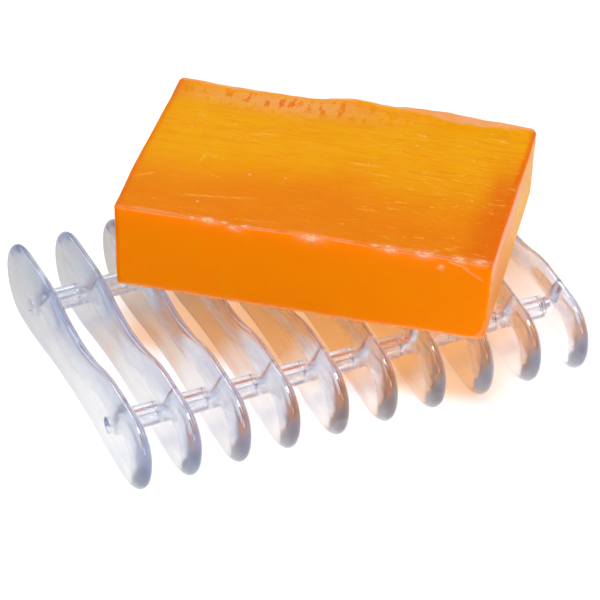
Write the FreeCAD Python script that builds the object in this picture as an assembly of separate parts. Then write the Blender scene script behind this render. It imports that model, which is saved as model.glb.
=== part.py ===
import FreeCAD, Part
import math
import os

# Clear slatted soap dish with the cut bar of soap that it holds.
# Upright slats stand side by side along X on two rods, with a spacer tube on the rod in every gap.
# The origin is the middle of the dish on the surface that it stands on. All sizes are in millimetres.

Vector = FreeCAD.Vector
X_AXIS = Vector(1, 0, 0)

# ---- slats: one profile in the YZ plane, repeated along X ----
SLAT_COUNT = 10
SLAT_PITCH = 12.5
SLAT_THICKNESS = 5.0
SLAT_LENGTH = 87.2
EDGE_DEPTH = 5.8            # how far in the rounding of an edge begins; across the slat it takes nearly half
CREST_WIDTH = 0.12          # the flat strip that is left between the roundings of the two sides

SHOULDER_HEIGHT = 20.8      # the highest line of a slat, which carries the soap
SHOULDER_OFFSET = 22.3      # from the middle of the slat to its shoulder
SHOULDER_RADIUS = 31.0
MIDDLE_HEIGHT = 17.6        # the lowest line of the dip between the shoulders
END_HEIGHT = 20.4           # the top of the rounded end
UPPER_END_RADIUS = 9.1
LOWER_END_RADIUS = 10.9
FOOT_OFFSET = 30.0          # from the middle to where the foot begins
FOOT_BLEND_RADIUS = 80.0
FOOT_TRIM = 0.15            # cut off under the rounded edge to leave a flat foot
ARCH_HEIGHT = 1.9           # how far the underside rises between the feet

# ---- rods, spacer tubes and their holes ----
ROD_OFFSET = 24.65          # each rod's distance from the middle of the dish, along Y
ROD_HEIGHT = 11.1
ROD_DIAMETER = 2.4
ROD_CHAMFER = 0.3
RUNNING_CLEARANCE = 0.05    # radial, in the inner slats and the spacers; the outer slats grip the rod
SPACER_DIAMETER = 5.6
SPACER_ROUNDING = 0.3
SPACER_END_PLAY = 0.03      # between each end of a spacer and the slat that it keeps away
RECESS_DIAMETER = 4.2       # the wider mouth of each hole in the two outer slats
RECESS_DEPTH = 3.0
ROD_END_DEPTH = 2.4         # how far each rod end lies below the outer face
POCKET_DIAMETER = 3.8       # the hollow round the rod in each inner slat, closed off by the spacer
POCKET_DEPTH = 1.6

# ---- soap bar: a hand-cut block, thicker at its front, laid askew on the shoulders ----
SOAP_FRONT_LEFT = Vector(-40.9, 12.6, SHOULDER_HEIGHT)
SOAP_YAW = -38.1            # degrees from +X to the front edge
SOAP_FRONT_LENGTH = 89.7    # along the bottom
SOAP_LEFT_SKEW = 1.0        # how far the back corners are cut in from square
SOAP_RIGHT_SKEW = 2.0
SOAP_LEFT_WIDTH = 57.7
SOAP_RIGHT_WIDTH = 60.2
SOAP_LEFT_THICKNESS = 23.6  # along the front
SOAP_RIGHT_THICKNESS = 23.3
SOAP_BACK_THICKNESS = 20.4  # at the back left corner
SOAP_END_LEAN = 1.8         # how far the right end face leans out over its foot
SOAP_ROUNDING = 1.0

DISH_LENGTH = (SLAT_COUNT - 1) * SLAT_PITCH + SLAT_THICKNESS
FIRST_SLAT_X = -(SLAT_COUNT - 1) * SLAT_PITCH / 2


def on_circle(centre, radius, angle):
    """The (y, z) point of a circle at an angle in degrees, measured from +Y towards +Z."""
    turn = math.radians(angle)
    return (centre[0] + radius * math.cos(turn), centre[1] + radius * math.sin(turn))


def arc(centre, radius, start, end):
    """An arc as its first, middle and last (y, z) points."""
    return [on_circle(centre, radius, angle) for angle in (start, (start + end) / 2, end)]


def tangent_pair(reach, rise, outer_radius):
    """Radius of the middle arc, and the slope angle where it meets an outer arc of the given radius.

    The two arcs are level at the middle and at the distance reach from it, and differ there by rise.
    """
    radii_together = (reach**2 + rise**2) / (2 * rise)
    return radii_together - outer_radius, math.degrees(math.asin(reach / radii_together))


def half_outline():
    """Arcs (three points) and lines (two points) of the +Y half, from the dip round to the underside."""
    half_length = SLAT_LENGTH / 2

    dip_radius, dip_slope = tangent_pair(SHOULDER_OFFSET, SHOULDER_HEIGHT - MIDDLE_HEIGHT, SHOULDER_RADIUS)
    dip_centre = (0, MIDDLE_HEIGHT + dip_radius)
    shoulder_centre = (SHOULDER_OFFSET, SHOULDER_HEIGHT - SHOULDER_RADIUS)

    upper_end_centre = (half_length - UPPER_END_RADIUS, END_HEIGHT - UPPER_END_RADIUS)
    lower_end_centre = (half_length - LOWER_END_RADIUS, LOWER_END_RADIUS - FOOT_TRIM)
    across = upper_end_centre[0] - shoulder_centre[0]
    up = upper_end_centre[1] - shoulder_centre[1]
    lean = math.acos((SHOULDER_RADIUS - UPPER_END_RADIUS) / math.hypot(across, up))
    crown_angle = math.degrees(math.atan2(up, across) + lean)

    arch_radius, arch_slope = tangent_pair(FOOT_OFFSET, ARCH_HEIGHT + FOOT_TRIM, FOOT_BLEND_RADIUS)
    foot_centre = (FOOT_OFFSET, FOOT_BLEND_RADIUS - FOOT_TRIM)
    arch_centre = (0, ARCH_HEIGHT - arch_radius)

    return [
        arc(dip_centre, dip_radius, -90, dip_slope - 90),
        arc(shoulder_centre, SHOULDER_RADIUS, dip_slope + 90, crown_angle),
        [on_circle(shoulder_centre, SHOULDER_RADIUS, crown_angle),
         on_circle(upper_end_centre, UPPER_END_RADIUS, crown_angle)],
        arc(upper_end_centre, UPPER_END_RADIUS, crown_angle, 0),
        [(half_length, upper_end_centre[1]), (half_length, lower_end_centre[1])],
        arc(lower_end_centre, LOWER_END_RADIUS, 0, -90),
        [(lower_end_centre[0], -FOOT_TRIM), (FOOT_OFFSET, -FOOT_TRIM)],
        arc(foot_centre, FOOT_BLEND_RADIUS, -90, -90 - arch_slope),
        arc(arch_centre, arch_radius, 90 - arch_slope, 90),
    ]


def outline_edge(points, side):
    """One edge of the outline in the plane x = 0, on the +Y (1) or -Y (-1) side."""
    corners = [Vector(0, side * y, z) for y, z in points]
    if len(corners) == 2:
        return Part.makeLine(*corners)
    return Part.Arc(*corners).toShape()


def slat_blank():
    """A slat without holes, centred on x = 0, with elliptical edges all round and flat feet.

    It is first made thicker with circular edges, then narrowed along X, which makes them elliptical.
    """
    edges = [outline_edge(points, side) for side in (1, -1) for points in half_outline()]
    wire = Part.Wire(Part.sortEdges(edges)[0])
    narrowing = (SLAT_THICKNESS - CREST_WIDTH) / (2 * EDGE_DEPTH)
    wide = SLAT_THICKNESS / narrowing
    block = Part.Face(wire).extrude(X_AXIS * wide)
    rims = [edge for edge in block.Edges if edge.BoundBox.XLength < wide / 2]
    rounded = block.makeFillet(EDGE_DEPTH, rims).translated(X_AXIS * (-wide / 2))
    narrow = FreeCAD.Matrix()
    narrow.A11 = narrowing
    ground = Part.makeBox(2 * wide, 2 * SLAT_LENGTH, EDGE_DEPTH, Vector(-wide, -SLAT_LENGTH, -EDGE_DEPTH))
    return rounded.transformGeometry(narrow).cut(ground)


def x_cylinder(diameter, length, start_x, rod_y):
    """A cylinder along X on the line of one rod."""
    return Part.makeCylinder(diameter / 2, length, Vector(start_x, rod_y, ROD_HEIGHT), X_AXIS)


def hollow(diameter, depth, side, rod_y):
    """A round hollow sunk into the left (-1) or right (1) face of a slat that is centred on x = 0."""
    middle_x = side * (SLAT_THICKNESS - depth) / 2
    return x_cylinder(diameter, depth, middle_x - depth / 2, rod_y)


def slat(index, blank):
    """A slat in its place with its two rod holes, recessed in the outermost two and pocketed in the rest."""
    outer_side = {0: -1, SLAT_COUNT - 1: 1}.get(index, 0)
    bore = ROD_DIAMETER if outer_side else ROD_DIAMETER + 2 * RUNNING_CLEARANCE
    body = blank
    for rod_y in (-ROD_OFFSET, ROD_OFFSET):
        body = body.cut(x_cylinder(bore, SLAT_THICKNESS, -SLAT_THICKNESS / 2, rod_y))
        if outer_side:
            body = body.cut(hollow(RECESS_DIAMETER, RECESS_DEPTH, outer_side, rod_y))
        else:
            body = body.cut(hollow(POCKET_DIAMETER, POCKET_DEPTH, -1, rod_y))
    return body.translated(Vector(FIRST_SLAT_X + index * SLAT_PITCH, 0, 0))


def rod(rod_y):
    """A rod through every slat, its chamfered ends sunk in the outer slats' recesses."""
    length = DISH_LENGTH - 2 * ROD_END_DEPTH
    body = x_cylinder(ROD_DIAMETER, length, -length / 2, rod_y)
    rims = [edge for edge in body.Edges if edge.BoundBox.XLength < ROD_CHAMFER]
    return body.makeChamfer(ROD_CHAMFER, rims)


def spacer(gap_index, rod_y):
    """The tube that fills one gap between two slats, round a rod, with softly rounded outer rims."""
    start_x = FIRST_SLAT_X + gap_index * SLAT_PITCH + SLAT_THICKNESS / 2 + SPACER_END_PLAY
    length = SLAT_PITCH - SLAT_THICKNESS - 2 * SPACER_END_PLAY
    body = x_cylinder(SPACER_DIAMETER, length, start_x, rod_y)
    rims = [edge for edge in body.Edges if edge.BoundBox.XLength < SPACER_ROUNDING]
    tube = body.makeFillet(SPACER_ROUNDING, rims)
    return tube.cut(x_cylinder(ROD_DIAMETER + 2 * RUNNING_CLEARANCE, length, start_x, rod_y))


def meeting_point(planes):
    """The point that three planes share, each given as one of its points and its normal."""
    (point_a, normal_a), (point_b, normal_b), (point_c, normal_c) = planes
    total = (normal_b.cross(normal_c) * normal_a.dot(point_a)
             + normal_c.cross(normal_a) * normal_b.dot(point_b)
             + normal_a.cross(normal_b) * normal_c.dot(point_c))
    return total / normal_a.dot(normal_b.cross(normal_c))


def soap_bar():
    """The soap: a four-cornered base, upright sides but for the leaning right end, and a sloping top."""
    along = Vector(math.cos(math.radians(SOAP_YAW)), math.sin(math.radians(SOAP_YAW)), 0)
    across = Vector(-along.y, along.x, 0)
    upright = Vector(0, 0, 1)
    leaning = Vector(0, 0, SOAP_RIGHT_THICKNESS) + along * SOAP_END_LEAN
    base = [SOAP_FRONT_LEFT + along * u + across * v for u, v in (
        (0, 0),
        (SOAP_FRONT_LENGTH, 0),
        (SOAP_FRONT_LENGTH - SOAP_RIGHT_SKEW, SOAP_RIGHT_WIDTH),
        (SOAP_LEFT_SKEW, SOAP_LEFT_WIDTH),
    )]
    front_left, front_right, back_left = (corner + upright * thickness for corner, thickness in (
        (base[0], SOAP_LEFT_THICKNESS), (base[1], SOAP_RIGHT_THICKNESS), (base[3], SOAP_BACK_THICKNESS)))
    top_plane = (front_left, (front_right - front_left).cross(back_left - front_left))
    sides = [(base[k], (base[(k + 1) % 4] - base[k]).cross(leaning if k == 1 else upright)) for k in range(4)]
    top = [meeting_point((sides[k - 1], sides[k], top_plane)) for k in range(4)]
    rings = [base, top]
    for k in range(4):
        following = (k + 1) % 4
        rings.append([base[k], base[following], top[following], top[k]])
    faces = [Part.Face(Part.makePolygon(ring + ring[:1])) for ring in rings]
    block = Part.Solid(Part.Shell(faces))
    if block.Volume < 0:
        block.reverse()
    return block.makeFillet(SOAP_ROUNDING, block.Edges)


def build_nodes():
    """Every separate piece, by its node name."""
    nodes = {}
    blank = slat_blank()
    for index in range(SLAT_COUNT):
        nodes[f"slat_{index + 1:02d}"] = slat(index, blank)
    for row, rod_y in (("front", -ROD_OFFSET), ("rear", ROD_OFFSET)):
        nodes[f"rod_{row}"] = rod(rod_y)
        for gap_index in range(SLAT_COUNT - 1):
            nodes[f"spacer_{row}_{gap_index + 1:02d}"] = spacer(gap_index, rod_y)
    nodes["soap_bar"] = soap_bar()
    return nodes


os.makedirs("parts", exist_ok=True)
for name, shape in build_nodes().items():
    shape.exportStep(f"parts/{name}.step")
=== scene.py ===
import math

import bpy
from mathutils import Matrix, Vector, noise


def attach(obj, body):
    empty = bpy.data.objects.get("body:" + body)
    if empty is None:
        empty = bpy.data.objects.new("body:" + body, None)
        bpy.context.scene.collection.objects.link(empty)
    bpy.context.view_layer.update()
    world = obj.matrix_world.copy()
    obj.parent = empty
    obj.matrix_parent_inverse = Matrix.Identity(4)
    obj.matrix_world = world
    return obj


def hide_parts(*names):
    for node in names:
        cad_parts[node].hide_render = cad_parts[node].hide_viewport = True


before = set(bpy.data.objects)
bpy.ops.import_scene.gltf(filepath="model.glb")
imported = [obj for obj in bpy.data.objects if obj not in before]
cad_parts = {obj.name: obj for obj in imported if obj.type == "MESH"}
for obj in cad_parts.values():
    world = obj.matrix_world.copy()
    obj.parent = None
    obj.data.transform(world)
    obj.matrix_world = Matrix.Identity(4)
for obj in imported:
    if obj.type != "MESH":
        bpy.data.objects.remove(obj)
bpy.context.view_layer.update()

# Clear slatted soap dish with a hand-cut bar of orange glycerine soap lying askew on it.
# The slats, rods and spacers are the CAD nodes with procedural clear plastic.
# The soap bar is a fine mesh built here, in the place of the plain CAD bar.

MM = 0.001

# ---- camera ----
CAMERA_AZIMUTH = math.radians(-23.74)
CAMERA_ELEVATION = math.radians(37.82)
CAMERA_DISTANCE = 1.2
CAMERA_TARGET = Vector((1.26, 0.0, 11.87)) * MM
CAMERA_LENS = 299.0
SENSOR_WIDTH = 36.0

# ---- studio ----
FLOOR_SIZE = 6.0
FLOOR_PLAIN = (0.90, 0.90, 0.90, 1)
# Painted shade: these floor colours, seen only through the plastic, darken it to the left and far behind the
# dish.
FLOOR_LEFT_COLOUR = (0.68, 0.68, 0.68, 1)       # as seen through the plastic
FLOOR_RIGHT_COLOUR = (0.90, 0.88, 0.87, 1)
FLOOR_FAR_COLOUR = (0.36, 0.36, 0.37, 1)
FLOOR_LEFT_TO_RIGHT = (-0.06, 0.06)             # where one of these colours turns into another
FLOOR_NEAR_TO_FAR = (-0.02, 0.08)
FLOOR_WHITENESS = 0.15                          # share of plain white that the camera sees in the floor
WORLD_LIGHT = (0.42, 0.42, 0.42, 1)
MIRRORED_LEFT = (0.44, 0.47, 0.60, 1)
MIRRORED_RIGHT = (0.56, 0.54, 0.64, 1)
MIRRORED_TOP = (0.45, 0.52, 0.70, 1)
MIRRORED_SIDEWAYS = (-0.3, 0.5)                 # where left turns into right, and the sides into the top
MIRRORED_UPWARDS = (0.3, 0.9)
# Patches mirrored from high up in front: direction, colour, and the cosines where each begins and is full.
MIRRORED_PATCHES = [((0.14, -0.58, 0.80), (0.01, 0.01, 0.02, 1), 0.925, 0.960),
                    ((0.37, -0.26, 0.89), (1.8, 1.8, 1.9, 1), 0.960, 0.980)]
LIGHT_DISTANCE = 1.2

# ---- plastic ----
# Haze and absorption per metre of each kind of CAD node.
PLASTICS = {"slat": (0.08, 15.0), "rod": (0.03, 30.0), "spacer": (0.05, 30.0)}
PLASTIC_IOR = 1.49
PLASTIC_DEPTH_COLOUR = (0.58, 0.70, 0.92, 1)
PLASTIC_LIGHT = (0.95, 0.96, 0.975, 1)          # tint of the light that passes one surface
PLASTIC_COLOUR = (1.0, 1.0, 1.0, 1)
PLASTIC_FLOW_COLOUR = (0.96, 0.97, 0.99, 1)
PLASTIC_WAVE_HEIGHT = 0.07 * MM
PLASTIC_FLOW_HEIGHT = 0.05 * MM

# ---- soap bar ----
SOAP_NODE = "soap_bar"
CAD_ROUNDING = 1.0 * MM         # edge radius of the CAD bar, used to find its sharp corners
EDGE_ZONE = 2.2 * MM            # the mesh is finer this close to an edge
EDGE_STEPS = 10
STEP_ALONG = 0.45 * MM
STEP_ACROSS = 0.60 * MM
STEP_UP = 0.42 * MM
FACING = (0.75, 0.97)           # share of the normal over which a face's marks fade out round its edges
# The pale marks hold real scuffs, chips and scratches, and the painted sheen of the back lip and the right
# end.
MARKS = ("scuff_and_sheen", "crumb", "deep", "smear", "hair")
SOAP_DEEP = (0.80, 0.16, 0.001, 1)
SOAP_BODY = (0.86, 0.232, 0.001, 1)
SOAP_YELLOW = (0.92, 0.40, 0.001, 1)
# Painted shade: multiplies the colour of the upward faces, which get more light than the sides.
SOAP_TOP_PAINTED_SHADE = (0.61, 0.61, 0.61, 1)
# Pale colour of scuffs and chips, and of the painted sheen on the back lip and the right end.
SOAP_PALE = (0.94, 0.43, 0.27, 1)
# Pale yellow of the hairlines, partly painted glints on their fine ridges, and of the top scratches.
SOAP_HAIR = (1.0, 0.55, 0.10, 1)
SOAP_CRUMB = (0.96, 0.54, 0.32, 1)
# Painted glow: an emission with no lamp inside, orange underneath and faint all over.
SOAP_PAINTED_GLOW_COLOUR = (1.0, 0.42, 0.05, 1)
SOAP_LIGHT = (1.0, 0.62, 0.16, 1)               # tint of the light that passes one surface
SOAP_CLEARNESS = 0.85
SOAP_SCATTER = 4 * MM
SOAP_SCATTER_SHARES = (1.0, 0.32, 0.04)         # of that length, for red, green and blue
SOAP_RIPPLE_HEIGHT = 0.10 * MM
SOAP_LINE_HEIGHT = 0.04 * MM
# Painted glow strengths: underneath, and all over.
SOAP_UNDER_PAINTED_GLOW = 0.15
SOAP_PAINTED_GLOW_ALL_OVER = 0.08

# The lists below are in mm. "Over the edge" counts from the front top edge, back on the top and negative
# down the front. Crumbled spots: distance along the bar, half-length, distance over the edge, and depth.
EDGE_CHIPS = [(18.4, 0.8, 0.0, 0.3), (22.3, 2.4, 0.2, 0.4), (26.0, 1.0, 0.6, 0.3), (28.6, 1.7, -0.7, 0.7),
              (31.0, 1.2, 0.5, 0.3), (46.8, 3.2, -0.6, 0.5), (61.8, 1.2, 0.2, 0.4), (65.5, 2.6, 0.0, 0.5),
              (73.5, 2.8, 0.0, 0.3), (81.8, 2.0, 0.1, 0.3), (86.4, 2.2, 0.3, 0.3), (77.8, 0.7, -3.0, 0.2)]
# Scratches across the top: start and end as (along, across).
TOP_SCRATCHES = [((13.5, 23.1), (14.6, 28.0)), ((14.6, 28.0), (17.5, 26.5)), ((0.9, 13.3), (5.6, 16.8)),
                 ((11.8, 8.7), (31.2, 12.0)), ((22.7, 39.7), (29.6, 40.2)), ((7.6, 45.4), (10.3, 43.8)),
                 ((47.8, 32.8), (56.8, 33.1)), ((36.7, 37.4), (39.7, 37.4))]
# Scratches near the front top edge: start and end as (along, over the edge).
EDGE_SCRATCHES = [((3.3, 0.9), (15.2, 0.9)), ((32.0, 0.4), (38.5, -0.1)), ((33.0, -0.3), (44.0, -0.2)),
                  ((49.5, 0.1), (57.5, -0.4)), ((50.5, -0.6), (61.0, -0.3)), ((68.0, 0.7), (76.0, 0.2)),
                  ((79.0, -1.0), (84.5, -2.2)), ((82.5, -1.8), (88.0, -5.4)), ((76.5, -3.2), (78.5, -4.4))]
# Waves of the back and front top edges: height, distance along the bar, and reach to either side.
BACK_EDGE_WAVES = [(1.5, 44, 6), (1.15, 64, 14), (0.9, 2, 6)]
FRONT_EDGE_WAVES = [(0.40, 51, 8), (-0.50, 29, 5)]
EDGE_MARKS_REACH = 12           # no crumbled spot or scratch of the front top edge is further from it
NICK_CENTRE = 5.2               # of the rounded nick, from the bottom and the right end of the front
NICK_RADIUS = 4.9


def add_camera():
    """A long lens that sees the dish from the front left and above, aimed just above its middle."""
    back = Vector((
        math.sin(CAMERA_AZIMUTH) * math.cos(CAMERA_ELEVATION),
        -math.cos(CAMERA_AZIMUTH) * math.cos(CAMERA_ELEVATION),
        math.sin(CAMERA_ELEVATION),
    ))
    right = Vector((math.cos(CAMERA_AZIMUTH), math.sin(CAMERA_AZIMUTH), 0))
    up = back.cross(right)
    data = bpy.data.cameras.new("camera")
    data.lens = CAMERA_LENS
    data.sensor_width = SENSOR_WIDTH
    data.clip_start = 0.05
    camera = bpy.data.objects.new("camera", data)
    bpy.context.scene.collection.objects.link(camera)
    axes = Matrix((right, up, back)).transposed().to_4x4()
    camera.matrix_world = Matrix.Translation(CAMERA_TARGET + back * CAMERA_DISTANCE) @ axes
    bpy.context.scene.camera = camera


# ---- shader helpers ----

class Graph:
    """The node tree of one material or world, with short ways to add and join nodes."""

    def __init__(self, owner):
        owner.use_nodes = True
        self.tree = owner.node_tree
        self.nodes = self.tree.nodes

    def put(self, socket, value):
        """Link a socket to an output, or give it a plain value."""
        if isinstance(value, bpy.types.NodeSocket):
            self.tree.links.new(value, socket)
        elif value is not None:
            socket.default_value = value

    def add(self, kind, settings=None, **inputs):
        """A new node; inputs are named by their socket, with _ for a space."""
        node = self.nodes.new(kind)
        for key, value in (settings or {}).items():
            setattr(node, key, value)
        for key, value in inputs.items():
            self.put(node.inputs[key.replace("_", " ")], value)
        return node

    def math(self, operation, a, b=None):
        """The output of a math node."""
        node = self.nodes.new("ShaderNodeMath")
        node.operation = operation
        self.put(node.inputs[0], a)
        self.put(node.inputs[1], b)
        return node.outputs[0]

    def vector_math(self, operation, a, b):
        """The vector output of a vector math node; b is a plain number for SCALE."""
        node = self.nodes.new("ShaderNodeVectorMath")
        node.operation = operation
        self.put(node.inputs[0], a)
        self.put(node.inputs["Scale"] if operation == "SCALE" else node.inputs[1], b)
        return node.outputs[0]

    def remap(self, value, low, high, to_low=0.0, to_high=1.0):
        """A smooth step from to_low to to_high as value goes from low to high."""
        node = self.add("ShaderNodeMapRange", {"interpolation_type": "SMOOTHSTEP"}, Value=value,
                        From_Min=low, From_Max=high, To_Min=to_low, To_Max=to_high)
        return node.outputs["Result"]

    def contour(self, value, level, reach):
        """1 where the value is at the level, fading to 0 at the given reach from it."""
        return self.remap(self.math("ABSOLUTE", self.math("SUBTRACT", value, level)), 0.0, reach, 1.0, 0.0)

    def mix(self, factor, a, b, blend_type="MIX"):
        """Colour a where the factor is 0, and b (or their blend) where it is 1."""
        node = self.nodes.new("ShaderNodeMix")
        node.data_type = "RGBA"
        node.blend_type = blend_type
        # The node has sockets for other kinds of values too; its colours are inputs 6 and 7 and output 2.
        self.put(node.inputs[0], factor)
        self.put(node.inputs[6], a)
        self.put(node.inputs[7], b)
        return node.outputs[2]

    def place(self, scale, bend=0.0):
        """Object coordinates in metres, swayed by up to the given distance, times a scale per axis."""
        coordinate = self.add("ShaderNodeTexCoord").outputs["Object"]
        if bend:
            sway = self.add("ShaderNodeTexNoise", Vector=coordinate, Scale=90.0, Detail=2.0).outputs["Color"]
            sway = self.vector_math("SCALE", self.vector_math("SUBTRACT", sway, (0.5, 0.5, 0.5)), 2 * bend)
            coordinate = self.vector_math("ADD", coordinate, sway)
        return self.add("ShaderNodeMapping", Vector=coordinate, Scale=scale).outputs["Vector"]

    def noise(self, scale, detail=3.0, roughness=0.5, distortion=0.0, bend=0.0):
        """Noise from 0 to 1 whose features are about one over the scale apart on each axis."""
        node = self.add("ShaderNodeTexNoise", Vector=self.place(scale, bend), Scale=1.0, Detail=detail,
                        Roughness=roughness, Distortion=distortion)
        return node.outputs["Fac"]

    def blend(self, factor, a, b):
        """A mix of two shader nodes: a where the factor is 0, and b where it is 1."""
        node = self.nodes.new("ShaderNodeMixShader")
        self.put(node.inputs[0], factor)
        self.put(node.inputs[1], a.outputs[0])
        self.put(node.inputs[2], b.outputs[0])
        return node

    def let_light_through(self, shader, share, colour):
        """Passes shadow and diffuse rays through the shader node, tinted at every surface that they cross."""
        path = self.add("ShaderNodeLightPath")
        light = self.math("MAXIMUM", path.outputs["Is Shadow Ray"], path.outputs["Is Diffuse Ray"])
        clear = self.add("ShaderNodeBsdfTransparent", Color=colour)
        return self.blend(self.math("MULTIPLY", light, share), shader, clear)

    def output(self, shader):
        """Makes a shader node the material's surface."""
        self.put(self.nodes["Material Output"].inputs["Surface"], shader.outputs[0])

    def bump(self, height, distance, normal=None):
        """A normal bent by heights of 0 to 1 times the distance, on top of another one if it is given."""
        node = self.add("ShaderNodeBump", Height=height, Distance=distance, Strength=1.0)
        self.put(node.inputs["Normal"], normal)
        return node.outputs["Normal"]


# ---- studio ----

def add_floor():
    """A plain pale floor to the camera; what the plastic shows of it has painted shade, darker to the left
    and behind the dish.
    """
    half = FLOOR_SIZE / 2
    data = bpy.data.meshes.new("floor")
    corners = [(-half, -half, 0), (half, -half, 0), (half, half, 0), (-half, half, 0)]
    data.from_pydata(corners, [], [(0, 1, 2, 3)])
    floor = bpy.data.objects.new("floor", data)
    bpy.context.scene.collection.objects.link(floor)
    material = bpy.data.materials.new("studio_floor")
    graph = Graph(material)
    shader = graph.nodes["Principled BSDF"]
    coordinate = graph.add("ShaderNodeTexCoord").outputs["Object"]
    split = graph.add("ShaderNodeSeparateXYZ", Vector=coordinate)
    rightness = graph.remap(split.outputs["X"], *FLOOR_LEFT_TO_RIGHT)
    farness = graph.remap(split.outputs["Y"], *FLOOR_NEAR_TO_FAR)
    # Painted shade: the floor that the plastic shows is darker to the left and further back.
    painted_shade_seen_through = graph.mix(rightness, FLOOR_LEFT_COLOUR, FLOOR_RIGHT_COLOUR)
    painted_shade_seen_through = graph.mix(farness, painted_shade_seen_through, FLOOR_FAR_COLOUR)
    camera_ray = graph.add("ShaderNodeLightPath").outputs["Is Camera Ray"]
    graph.put(shader.inputs["Base Color"], graph.mix(camera_ray, painted_shade_seen_through, FLOOR_PLAIN))
    shader.inputs["Roughness"].default_value = 0.8
    shader.inputs["Specular IOR Level"].default_value = 0.0
    white = graph.add("ShaderNodeEmission", Color=(1, 1, 1, 1), Strength=1.0)
    graph.output(graph.blend(graph.math("MULTIPLY", camera_ray, FLOOR_WHITENESS), shader, white))
    data.materials.append(material)


def add_world():
    """An even white light, but blue-grey surroundings for what the glossy and clear surfaces show."""
    world = bpy.data.worlds.new("studio")
    graph = Graph(world)
    direction = graph.add("ShaderNodeTexCoord").outputs["Generated"]
    split = graph.add("ShaderNodeSeparateXYZ", Vector=direction)
    sides = graph.mix(graph.remap(split.outputs["X"], *MIRRORED_SIDEWAYS), MIRRORED_LEFT, MIRRORED_RIGHT)
    mirrored = graph.mix(graph.remap(split.outputs["Z"], *MIRRORED_UPWARDS), sides, MIRRORED_TOP)
    for towards, colour, begin, full in MIRRORED_PATCHES:
        node = graph.add("ShaderNodeVectorMath", {"operation": "DOT_PRODUCT"})
        graph.put(node.inputs[0], direction)
        graph.put(node.inputs[1], towards)
        mirrored = graph.mix(graph.remap(node.outputs["Value"], begin, full), mirrored, colour)
    path = graph.add("ShaderNodeLightPath")
    seen = graph.math("MAXIMUM", path.outputs["Is Glossy Ray"], path.outputs["Is Transmission Ray"])
    graph.put(graph.nodes["Background"].inputs["Color"], graph.mix(seen, WORLD_LIGHT, mirrored))
    bpy.context.scene.world = world


def add_softbox(name, azimuth, elevation, width, height, watts):
    """A rectangular light aimed at the dish; azimuth 0 is behind it, and positive is to the right."""
    turn = math.radians(azimuth)
    tilt = math.radians(elevation)
    away = Vector((math.sin(turn) * math.cos(tilt), math.cos(turn) * math.cos(tilt), math.sin(tilt)))
    data = bpy.data.lights.new(name, "AREA")
    data.shape = "RECTANGLE"
    data.size = width
    data.size_y = height
    data.energy = watts
    light = bpy.data.objects.new(name, data)
    bpy.context.scene.collection.objects.link(light)
    aim = away.to_track_quat("Z", "Y").to_matrix().to_4x4()
    light.matrix_world = Matrix.Translation(away * LIGHT_DISTANCE) @ aim
    light.visible_transmission = False


def set_rendering():
    """Light passes through up to ten slats, so paths have to be long."""
    settings = bpy.context.scene.cycles
    settings.max_bounces = 40
    settings.transmission_bounces = 40
    settings.glossy_bounces = 40
    settings.diffuse_bounces = 4
    settings.transparent_max_bounces = 40
    settings.use_denoising = True
    bpy.context.scene.view_settings.view_transform = "Standard"


# ---- clear plastic ----

def clear_plastic(name, haze, absorb):
    """Moulded clear plastic: hazy inside with a glossy skin, faint flow lines, and fine handling marks."""
    material = bpy.data.materials.new(name)
    graph = Graph(material)
    shader = graph.nodes["Principled BSDF"]
    flow = graph.noise((60, 16, 380), detail=4, distortion=0.4)
    wave = graph.noise((90, 40, 90), detail=2)
    marks = graph.remap(graph.noise((900, 260, 900), detail=4, roughness=0.7), 0.62, 0.8)
    graph.put(shader.inputs["Base Color"], graph.mix(flow, PLASTIC_COLOUR, PLASTIC_FLOW_COLOUR))
    roughness = graph.math("ADD", graph.math("MULTIPLY", marks, 0.10), haze)
    graph.put(shader.inputs["Roughness"], roughness)
    shader.inputs["IOR"].default_value = PLASTIC_IOR
    shader.inputs["Transmission Weight"].default_value = 1.0
    shader.inputs["Coat Weight"].default_value = 1.0
    shader.inputs["Coat Roughness"].default_value = 0.03
    broad = graph.bump(wave, PLASTIC_WAVE_HEIGHT)
    normal = graph.bump(flow, PLASTIC_FLOW_HEIGHT, broad)
    graph.put(shader.inputs["Normal"], normal)
    graph.put(shader.inputs["Coat Normal"], normal)
    graph.output(graph.let_light_through(shader, 1.0, PLASTIC_LIGHT))
    volume = graph.add("ShaderNodeVolumeAbsorption", Color=PLASTIC_DEPTH_COLOUR, Density=absorb)
    graph.put(graph.nodes["Material Output"].inputs["Volume"], volume.outputs["Volume"])
    return material


def dress_dish():
    """Every slat, rod and spacer keeps its CAD shape and gets its plastic."""
    plastics = {kind: clear_plastic(kind + "_clear_plastic", *look) for kind, look in PLASTICS.items()}
    for name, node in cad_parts.items():
        kind = name.split("_")[0]
        if kind in plastics:
            node.data.materials.clear()
            node.data.materials.append(plastics[kind])


# ---- soap bar: shape ----

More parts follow.
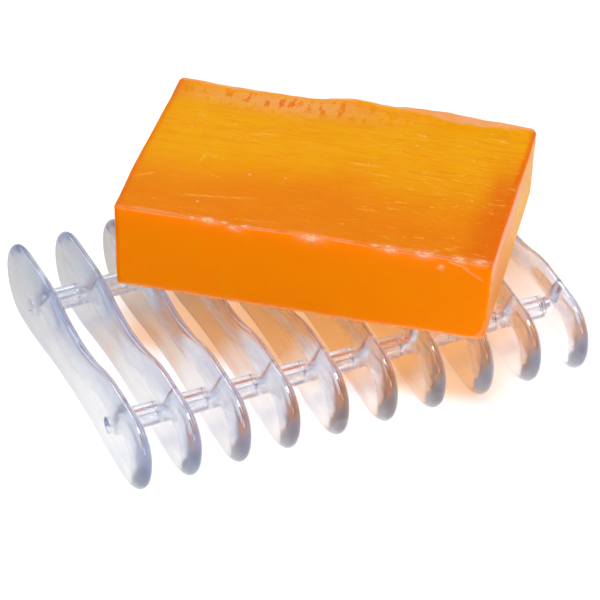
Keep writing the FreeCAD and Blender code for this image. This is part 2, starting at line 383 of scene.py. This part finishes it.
class Bar:
    """The CAD bar's own axes and its eight sharp corners, read from its mesh."""

    def __init__(self, node):
        points = [node.matrix_world @ vertex.co for vertex in node.data.vertices]
        left = min(points, key=lambda p: p.x)
        front = min(points, key=lambda p: p.y)
        self.along = Vector((front.x - left.x, front.y - left.y, 0)).normalized()
        self.across = Vector((-self.along.y, self.along.x, 0))
        sides = [(i, j, k) for i in (-1, 1) for j in (-1, 1) for k in (-1, 1)]
        corners = {side: self.sharp_corner(points, side) for side in sides}
        axes = Matrix((self.along, self.across, Vector((0, 0, 1)))).transposed().to_4x4()
        self.frame = Matrix.Translation(corners[-1, -1, -1]) @ axes
        to_bar = self.frame.inverted()
        self.corners = {key: to_bar @ corner for key, corner in corners.items()}
        self.length = self.corners[1, -1, -1].x
        self.width = (self.corners[-1, 1, -1].y + self.corners[1, 1, -1].y) / 2
        self.height = (self.corners[-1, -1, 1].z + self.corners[1, -1, 1].z) / 2

    def sharp_corner(self, points, signs):
        """The rounded corner furthest out in a diagonal direction, moved out to where its faces meet."""
        outward = self.along * signs[0] + self.across * signs[1] + Vector((0, 0, signs[2]))
        rounded = max(points, key=outward.dot)
        return rounded + outward * CAD_ROUNDING * (1 - 1 / math.sqrt(3))

    def place(self, p):
        """A point of the square box of mean size, moved to the same share of the real, skewed bar."""
        u, v, w = p.x / self.length, p.y / self.width, p.z / self.height
        result = Vector((0, 0, 0))
        for (i, j, k), corner in self.corners.items():
            share = (u if i > 0 else 1 - u) * (v if j > 0 else 1 - v) * (w if k > 0 else 1 - w)
            result += corner * share
        return result


def stations(length, step):
    """Distances along one side of the bar, closer together near both ends."""
    count = round((length - 2 * EDGE_ZONE) / step)
    near = [EDGE_ZONE * k / EDGE_STEPS for k in range(EDGE_STEPS)]
    middle = [EDGE_ZONE + (length - 2 * EDGE_ZONE) * k / count for k in range(count + 1)]
    return near + middle + [length - value for value in reversed(near)]


def box_surface(steps):
    """Lattice keys and quads of a closed box surface, with the given stations along its three axes."""
    counts = [len(line) - 1 for line in steps]
    keys = {}
    quads = []
    for axis in range(3):
        a, b = (axis + 1) % 3, (axis + 2) % 3
        for side in (0, counts[axis]):
            for i in range(counts[a]):
                for j in range(counts[b]):
                    ring = []
                    for di, dj in ((0, 0), (1, 0), (1, 1), (0, 1)):
                        key = [0, 0, 0]
                        key[axis], key[a], key[b] = side, i + di, j + dj
                        ring.append(keys.setdefault(tuple(key), len(keys)))
                    quads.append(ring if side else ring[::-1])
    return keys, quads


def smooth(value, low, high):
    """0 below low, 1 above high, and a smooth step between."""
    t = min(max((value - low) / (high - low), 0.0), 1.0)
    return t * t * (3 - 2 * t)


def bell(value, centre, width):
    """1 at the centre, falling to 0 about two widths away."""
    return math.exp(-(((value - centre) / width) ** 2))


def wobble(x, y, z, seed):
    """Smooth noise from about -1 to 1 at a point counted in features."""
    return noise.noise(Vector((x, y, z + 17.3 * seed)))


def distance_to_line(point, start, end):
    """Distance from a flat point to the line between two others, and where along it, from 0 to 1."""
    run, rise = end[0] - start[0], end[1] - start[1]
    share = ((point[0] - start[0]) * run + (point[1] - start[1]) * rise) / (run * run + rise * rise)
    share = min(max(share, 0.0), 1.0)
    return math.hypot(point[0] - start[0] - share * run, point[1] - start[1] - share * rise), share


class Soap:
    """Shape and marks of the bar's surface in mm; x runs along it, y across it to the back, and z up."""

    def __init__(self, bar):
        self.length, self.width, self.height = bar.length / MM, bar.width / MM, bar.height / MM

    def radius(self, x, y, z):
        """How rounded the nearest edge is."""
        top = smooth(z, self.height - 6, self.height)
        bottom = smooth(self.height - z, self.height - 6, self.height)
        back = smooth(y, self.width - 7, self.width)
        front = smooth(self.width - y, self.width - 7, self.width)
        right = smooth(x, self.length - 7, self.length)
        left = smooth(8 - x, 0, 8)
        value = 0.6 + 0.2 * wobble(x / 6, y / 6, z / 6, 1)
        value += top * back * (0.8 + 0.5 * wobble(x / 11, 0, 0, 2) + 0.3 * left)
        value += bottom * front * (0.3 + 0.1 * left + 0.8 * right)
        value += back * right * 0.8
        return max(value, 0.35)

    def drift(self, x, y, z):
        """How far the left end bulges out and the upper edges rise or sink, which makes them uneven."""
        top = smooth(z, self.height * 0.4, self.height)
        back = smooth(y, self.width - 9, self.width)
        front = smooth(6 - y, 0, 6)
        rise = 0.3 + 0.15 * wobble(x / 9, 0, 0, 21) + 0.08 * wobble(x / 3, 0, 0, 22)
        rise += sum(height * bell(x, place, reach) for height, place, reach in BACK_EDGE_WAVES)
        sink = 0.12 * wobble(x / 8, 0, 0, 23)
        sink += sum(height * bell(x, place, reach) for height, place, reach in FRONT_EDGE_WAVES)
        bulge = smooth(10 - x, 0, 10) * (0.3 + 0.8 * smooth(y, 0, 24))
        return Vector((-bulge, 0, top * (back * rise + front * sink)))

    def mark(self, spot):
        """Gathers the relief and the marks of one spot."""
        self.cut_waves(spot)
        self.back_lip(spot)
        self.bottom_rim(spot)
        self.deep_colour(spot)
        self.end_streaks(spot)
        self.top_scratches(spot)
        if math.hypot(spot.y, spot.from_top) < EDGE_MARKS_REACH:
            self.edge_chips(spot)
            self.edge_scratches(spot)
            self.edge_ridge(spot)

    def cut_waves(self, spot):
        """Broad waves all over, and finer ones along the cuts of each face."""
        x, y, z = spot.x, spot.y, spot.z
        spot.out += 0.15 * wobble(x / 22, y / 14, z / 14, 3) + 0.05 * wobble(x / 7, y / 4, z / 4, 4)
        spot.out += spot.on_top * 0.05 * wobble(x / 14, y / 3.0, 0, 8)
        spot.out += spot.on_right * 0.07 * wobble(y / 15, z / 1.3, 0, 9)
        spot.out += spot.on_front * 0.03 * wobble(x / 9, z / 3, 0, 10)

    def back_lip(self, spot):
        """A pale lip along the back edge, partly painted sheen, and a smeared patch in front of it on the
        left.
        """
        x, y = spot.x, spot.y
        band = 1.6 + 0.6 * wobble(x / 4, 0, 0, 5) + 0.3 * wobble(x / 1.3, 0, 0, 6) + 2.4 * bell(x, 72, 12)
        lip = smooth(band - spot.from_back, -0.3, 0.5) * spot.near_top
        spot.out += lip * (0.05 + 0.16 * wobble(x / 3, y / 2, 0, 7))
        spot.scuff_and_sheen += lip * (0.55 + 0.4 * wobble(x / 3, y / 1.2, 0, 15))
        spot.smear = spot.on_top * bell(x, 27, 22) * bell(spot.from_back, 5, 3.5)
        spot.out -= 0.10 * spot.smear * smooth(wobble(x / 1.7, y / 3.4, 0, 12), 0.0, 0.4)

    def bottom_rim(self, spot):
        """A pale line along the front bottom edge, and a rounded nick at its right corner."""
        x, z = spot.x, spot.z
        rim = 0.7 + 0.35 * wobble(x / 5, 0, 0, 17)
        foot = smooth(1.5 - spot.y, 0, 1) * bell(z, 0.7, 0.7 * rim)
        spot.scuff_and_sheen += foot * (0.48 + 0.25 * wobble(x / 6, 0, 0, 18))
        if x > self.length - 6 and z < 6:
            cut = math.hypot(x - self.length + NICK_CENTRE, z - NICK_CENTRE) - NICK_RADIUS
            spot.scuff_and_sheen += spot.on_front * (0.5 * bell(cut, 0, 0.3) + 0.2 * smooth(cut, 0, 0.4))
            spot.out -= spot.on_front * 0.3 * smooth(cut, 0, 0.8)

    def deep_colour(self, spot):
        """A redder orange along the left and right edges, at the back left corner and to the front right."""
        x, y = spot.x, spot.y
        spot.deep += spot.on_front * 0.8 * smooth(1.3 - x, 0, 0.6) + spot.on_top * 0.8 * bell(x, 0.3, 1.0)
        spot.deep += spot.on_top * 0.5 * bell(math.hypot(x / 4, spot.from_back / 8), 0, 1)
        spot.deep += spot.near_top * 0.9 * bell(x, self.length - 0.2, 0.9)
        corner = smooth(x, self.length - 10, self.length - 3)
        spot.deep += spot.on_top * 0.85 * corner * (1 - smooth(y, 28, 50))

    def end_streaks(self, spot):
        """Pale streaks along the right end, most of them not far below its top, over a paler wash of the
        whole end: partly cut marks, partly painted sheen.
        """
        y, z = spot.y, spot.z
        streaks = 0.5 + 0.5 * wobble(y / 26, z / 1.7, 0, 19) + 0.3 * wobble(y / 14, z / 0.8, 0, 20)
        bright = 0.3 + 0.7 * bell(spot.from_top, 4.5, 3.5)
        # Painted sheen: the whole right end is paled, more so in the streaks near its top.
        spot.scuff_and_sheen += spot.on_right * (0.15 * smooth(z, 1.0, 7.0) + bright * smooth(streaks, 0.3, 0.75))

    def top_scratches(self, spot):
        """The few longer scratches on the top."""
        if not spot.on_top:
            return
        for start, end in TOP_SCRATCHES:
            spread, share = distance_to_line((spot.x, spot.y), start, end)
            if spread < 1:
                width = spread + 0.2 * wobble(spot.x / 1.5, spot.y, 0, 25)
                line = bell(width, 0, 0.3) * (1 - (2 * share - 1) ** 4)
                spot.hair = max(spot.hair, spot.on_top * line)
                spot.out += 0.05 * spot.on_top * line

    def edge_chips(self, spot):
        """Crumbled spots on the front top edge."""
        x = spot.x
        grain = noise.noise(Vector((x / 0.7, spot.y / 0.7, spot.z / 0.7 + 40)))
        for chip_x, reach, chip_over, depth in EDGE_CHIPS:
            if abs(x - chip_x) < 2 * reach:
                chip = bell(x, chip_x, reach * 0.85) * bell(spot.over_edge, chip_over, 0.4 + 0.3 * reach)
                spot.out += depth * chip * (0.9 * grain - 0.3)
                spot.crumb = max(spot.crumb, chip * (0.85 + 1.6 * grain))
                spot.scuff_and_sheen = max(spot.scuff_and_sheen, 0.75 * chip)

    def edge_scratches(self, spot):
        """Scratches beside the front top edge."""
        for start, end in EDGE_SCRATCHES:
            spread, share = distance_to_line((spot.x, spot.over_edge), start, end)
            if spread < 1:
                width = spread + 0.15 * wobble(spot.x / 1.2, spot.y, 0, 24)
                line = bell(width, 0, 0.2) * (1 - (2 * share - 1) ** 4)
                spot.scuff_and_sheen = max(spot.scuff_and_sheen, 0.5 * line)
                spot.out += 0.05 * line

    def edge_ridge(self, spot):
        """A thin pale line along the front top edge, broken here and there."""
        x = spot.x
        edge = math.hypot(spot.y, spot.from_top)
        ridge = bell(edge, 0.35 + 0.2 * wobble(x / 4, 0, 0, 13), 0.22)
        spot.scuff_and_sheen = max(spot.scuff_and_sheen, 0.55 * ridge * smooth(wobble(x / 2.5, 0, 0, 14), -0.45, 0.2))


class Spot:
    """One point of the bar's surface in mm: where it is, which way it faces, its relief and its marks."""

    def __init__(self, soap, place, normal):
        self.x, self.y, self.z = place
        self.from_back = soap.width - self.y
        self.from_top = soap.height - self.z
        self.over_edge = self.y - self.from_top
        self.on_top = smooth(normal.z, *FACING)
        self.on_front = smooth(-normal.y, *FACING)
        self.on_right = smooth(normal.x, *FACING)
        self.near_top = smooth(self.z, soap.height - 2.5, soap.height - 1)
        self.out = self.scuff_and_sheen = self.crumb = self.deep = self.smear = self.hair = 0.0


def build_soap(bar):
    """The bar as a rounded box with uneven cut faces, crumbled edges and scratches."""
    soap = Soap(bar)
    steps = [stations(bar.length, STEP_ALONG), stations(bar.width, STEP_ACROSS),
             stations(bar.height, STEP_UP)]
    size = Vector((bar.length, bar.width, bar.height))
    keys, quads = box_surface(steps)
    points = []
    spots = []
    for key in keys:
        p = Vector([steps[axis][key[axis]] for axis in range(3)])
        radius = soap.radius(*(p / MM)) * MM
        centre = Vector([min(max(p[axis], radius), size[axis] - radius) for axis in range(3)])
        normal = (p - centre).normalized()
        spot = Spot(soap, p / MM, normal)
        soap.mark(spot)
        points.append(bar.place(centre + normal * (radius + spot.out * MM)) + soap.drift(*(p / MM)) * MM)
        spots.append(spot)
    data = bpy.data.meshes.new("soap_cut_bar")
    data.from_pydata(points, [], quads)
    data.shade_smooth()
    for name in MARKS:
        values = [getattr(spot, name) for spot in spots]
        data.attributes.new(name, "FLOAT", "POINT").data.foreach_set("value", values)
    data.materials.append(soap_material())
    piece = bpy.data.objects.new("soap_cut_bar", data)
    bpy.context.scene.collection.objects.link(piece)
    piece.matrix_world = bar.frame
    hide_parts(SOAP_NODE)
    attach(piece, "soap")


# ---- soap bar: material ----

def soap_colour(graph, split):
    """Deep orange at the front and along the sides, yellower to the back, with pale scuffs and hairlines,
    partly painted sheen and glints, and painted shade on the top.
    """
    marks = {name: graph.add("ShaderNodeAttribute", {"attribute_name": name}).outputs["Fac"]
             for name in MARKS}
    cloud = graph.noise((28, 36, 50), detail=2)
    depth = graph.math("SUBTRACT", split.outputs["Y"], graph.math("MULTIPLY", split.outputs["X"], 0.10))
    depth = graph.math("ADD", depth, graph.math("MULTIPLY", graph.math("SUBTRACT", cloud, 0.5), 0.03))
    body = graph.mix(graph.remap(depth, 0.004, 0.030), SOAP_BODY, SOAP_YELLOW)
    grain = graph.noise((45, 900, 900), detail=3, roughness=0.6, bend=0.9 * MM)
    body = graph.mix(graph.math("MULTIPLY", graph.remap(grain, 0.40, 0.62), 0.22), body, SOAP_BODY)
    body = graph.mix(graph.math("MINIMUM", marks["deep"], 1.0), body, SOAP_DEEP)

    upward = graph.add("ShaderNodeNewGeometry").outputs["Normal"]
    upward = graph.add("ShaderNodeSeparateXYZ", Vector=upward).outputs["Z"]
    on_top = graph.remap(upward, 0.7, 0.95)
    hairs_and_glints, shade = soap_hairlines(graph, split, on_top)
    blots = graph.remap(graph.noise((520, 230, 230), detail=3, roughness=0.6), 0.50, 0.62)
    # Darker where there is painted shade beside the hairlines, and where blots lie in the smear.
    dark = graph.math("MAXIMUM", shade, graph.math("MULTIPLY", blots, marks["smear"]))
    body = graph.mix(dark, body, SOAP_DEEP)
    hairs_and_glints = graph.math("MAXIMUM", hairs_and_glints, graph.math("MULTIPLY", marks["hair"], 0.5))
    body = graph.mix(hairs_and_glints, body, SOAP_HAIR)

    crumbs = soap_crumbs(graph, marks["crumb"], on_top)
    clouded = graph.math("SUBTRACT", 1.0, graph.math("MULTIPLY", blots, 0.8))
    smeared = graph.math("MULTIPLY", graph.math("MULTIPLY", marks["smear"], clouded), 0.36)
    pale = graph.math("MINIMUM", graph.math("MAXIMUM", marks["scuff_and_sheen"], smeared), 1.0)
    colour = graph.mix(crumbs, graph.mix(pale, body, SOAP_PALE), SOAP_CRUMB)
    # Painted shade: the upward faces are darkened, fading in over the rounded edges.
    top_painted_shade_colour = graph.mix(1.0, colour, SOAP_TOP_PAINTED_SHADE, "MULTIPLY")
    colour = graph.mix(graph.remap(upward, 0.05, 0.6), colour, top_painted_shade_colour)
    return colour, graph.math("MAXIMUM", pale, crumbs)


def soap_hairlines(graph, split, on_top):
    """Strengths of the fine pale hairlines on the top, denser to the right and partly painted glints, and of
    dark lines among them, painted shade.
    """
    field = graph.noise((60, 560, 560), detail=2, roughness=0.6, bend=1.5 * MM)
    patches = graph.noise((55, 110, 110), detail=3, roughness=0.6)
    patches = graph.math("ADD", patches, graph.math("MULTIPLY", split.outputs["X"], 2.0))
    broken = graph.remap(graph.noise((330, 900, 900), detail=2), 0.45, 0.62)
    strength = graph.math("MULTIPLY", graph.remap(patches, 0.50, 0.72), broken)
    strength = graph.math("MULTIPLY", graph.math("MULTIPLY", strength, on_top), 0.6)
    hairs_and_glints = graph.math("MULTIPLY", graph.contour(field, 0.52, 0.03), strength)
    # Painted shade: dark lines just beside the hairlines, the shaded side of their ridges.
    shade = graph.math("MULTIPLY", graph.contour(field, 0.46, 0.05), graph.math("MULTIPLY", on_top, 0.20))
    return hairs_and_glints, shade


def soap_crumbs(graph, crumb, on_top):
    """Strength of the crumbled spots, broken up finely, and of tiny specks strewn on the top."""
    cells = graph.add("ShaderNodeTexVoronoi", {"voronoi_dimensions": "2D"},
                      Vector=graph.place((110, 110, 110)), Scale=1.0)
    chosen = graph.add("ShaderNodeSeparateColor", Color=cells.outputs["Color"]).outputs["Red"]
    size = graph.math("MULTIPLY", graph.remap(chosen, 0.7, 1.0), 0.05)
    specks = graph.math("MULTIPLY", graph.math("LESS_THAN", cells.outputs["Distance"], size), on_top)
    fine = graph.noise((1300, 2400, 2400), detail=2)
    crumbs = graph.math("ADD", crumb, graph.math("MULTIPLY", graph.math("SUBTRACT", fine, 0.5), 0.9))
    crumbs = graph.remap(crumbs, 0.45, 0.75, 0.0, 0.85)
    return graph.math("MAXIMUM", crumbs, graph.math("MULTIPLY", specks, 0.45))


def soap_material():
    """Translucent orange glycerine soap that lets light through, with a painted glow: faint all over and
    stronger underneath.
    """
    material = bpy.data.materials.new("orange_glycerine_soap")
    material.cycles.emission_sampling = "NONE"
    graph = Graph(material)
    shader = graph.nodes["Principled BSDF"]
    coordinate = graph.add("ShaderNodeTexCoord").outputs["Object"]
    split = graph.add("ShaderNodeSeparateXYZ", Vector=coordinate)
    colour, pale = soap_colour(graph, split)
    graph.put(shader.inputs["Base Color"], colour)
    shader.inputs["Subsurface Weight"].default_value = 1.0
    shader.inputs["Subsurface Radius"].default_value = SOAP_SCATTER_SHARES
    shader.inputs["Subsurface Scale"].default_value = SOAP_SCATTER
    cloud = graph.noise((35, 45, 60), detail=2)
    roughness = graph.remap(cloud, 0.3, 0.7, 0.28, 0.42)
    graph.put(shader.inputs["Roughness"], graph.math("ADD", roughness, graph.math("MULTIPLY", pale, 0.3)))
    shader.inputs["Specular IOR Level"].default_value = 0.04
    shader.inputs["Specular Tint"].default_value = (1.0, 0.55, 0.08, 1)
    ripples = graph.noise((110, 420, 420), detail=4, roughness=0.55, bend=1.5 * MM)
    lines = graph.noise((160, 1900, 1900), detail=3, roughness=0.6, bend=1.2 * MM)
    normal = graph.bump(lines, SOAP_LINE_HEIGHT, graph.bump(ripples, SOAP_RIPPLE_HEIGHT))
    graph.put(shader.inputs["Normal"], normal)

    # Painted glow: emission in the glow colour underneath and in the soap's own colour elsewhere, never below
    # the faint all-over strength.
    facing = graph.add("ShaderNodeSeparateXYZ", Vector=graph.add("ShaderNodeNewGeometry").outputs["Normal"])
    beneath = graph.remap(facing.outputs["Z"], -0.9, -0.5, 1.0, 0.0)
    graph.put(shader.inputs["Emission Color"], graph.mix(beneath, colour, SOAP_PAINTED_GLOW_COLOUR))
    under_painted_glow = graph.math("MULTIPLY", beneath, SOAP_UNDER_PAINTED_GLOW)
    graph.put(shader.inputs["Emission Strength"], graph.math("MAXIMUM", under_painted_glow, SOAP_PAINTED_GLOW_ALL_OVER))
    graph.output(graph.let_light_through(shader, SOAP_CLEARNESS, SOAP_LIGHT))
    return material


add_camera()
set_rendering()
add_floor()
add_world()
add_softbox("key_overhead", azimuth=-160, elevation=81, width=0.35, height=0.35, watts=14)
add_softbox("behind", azimuth=14, elevation=44, width=0.25, height=0.3, watts=1.2)
add_softbox("fill_front", azimuth=-165, elevation=18, width=0.5, height=0.4, watts=1.8)
dress_dish()
build_soap(Bar(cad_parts[SOAP_NODE]))
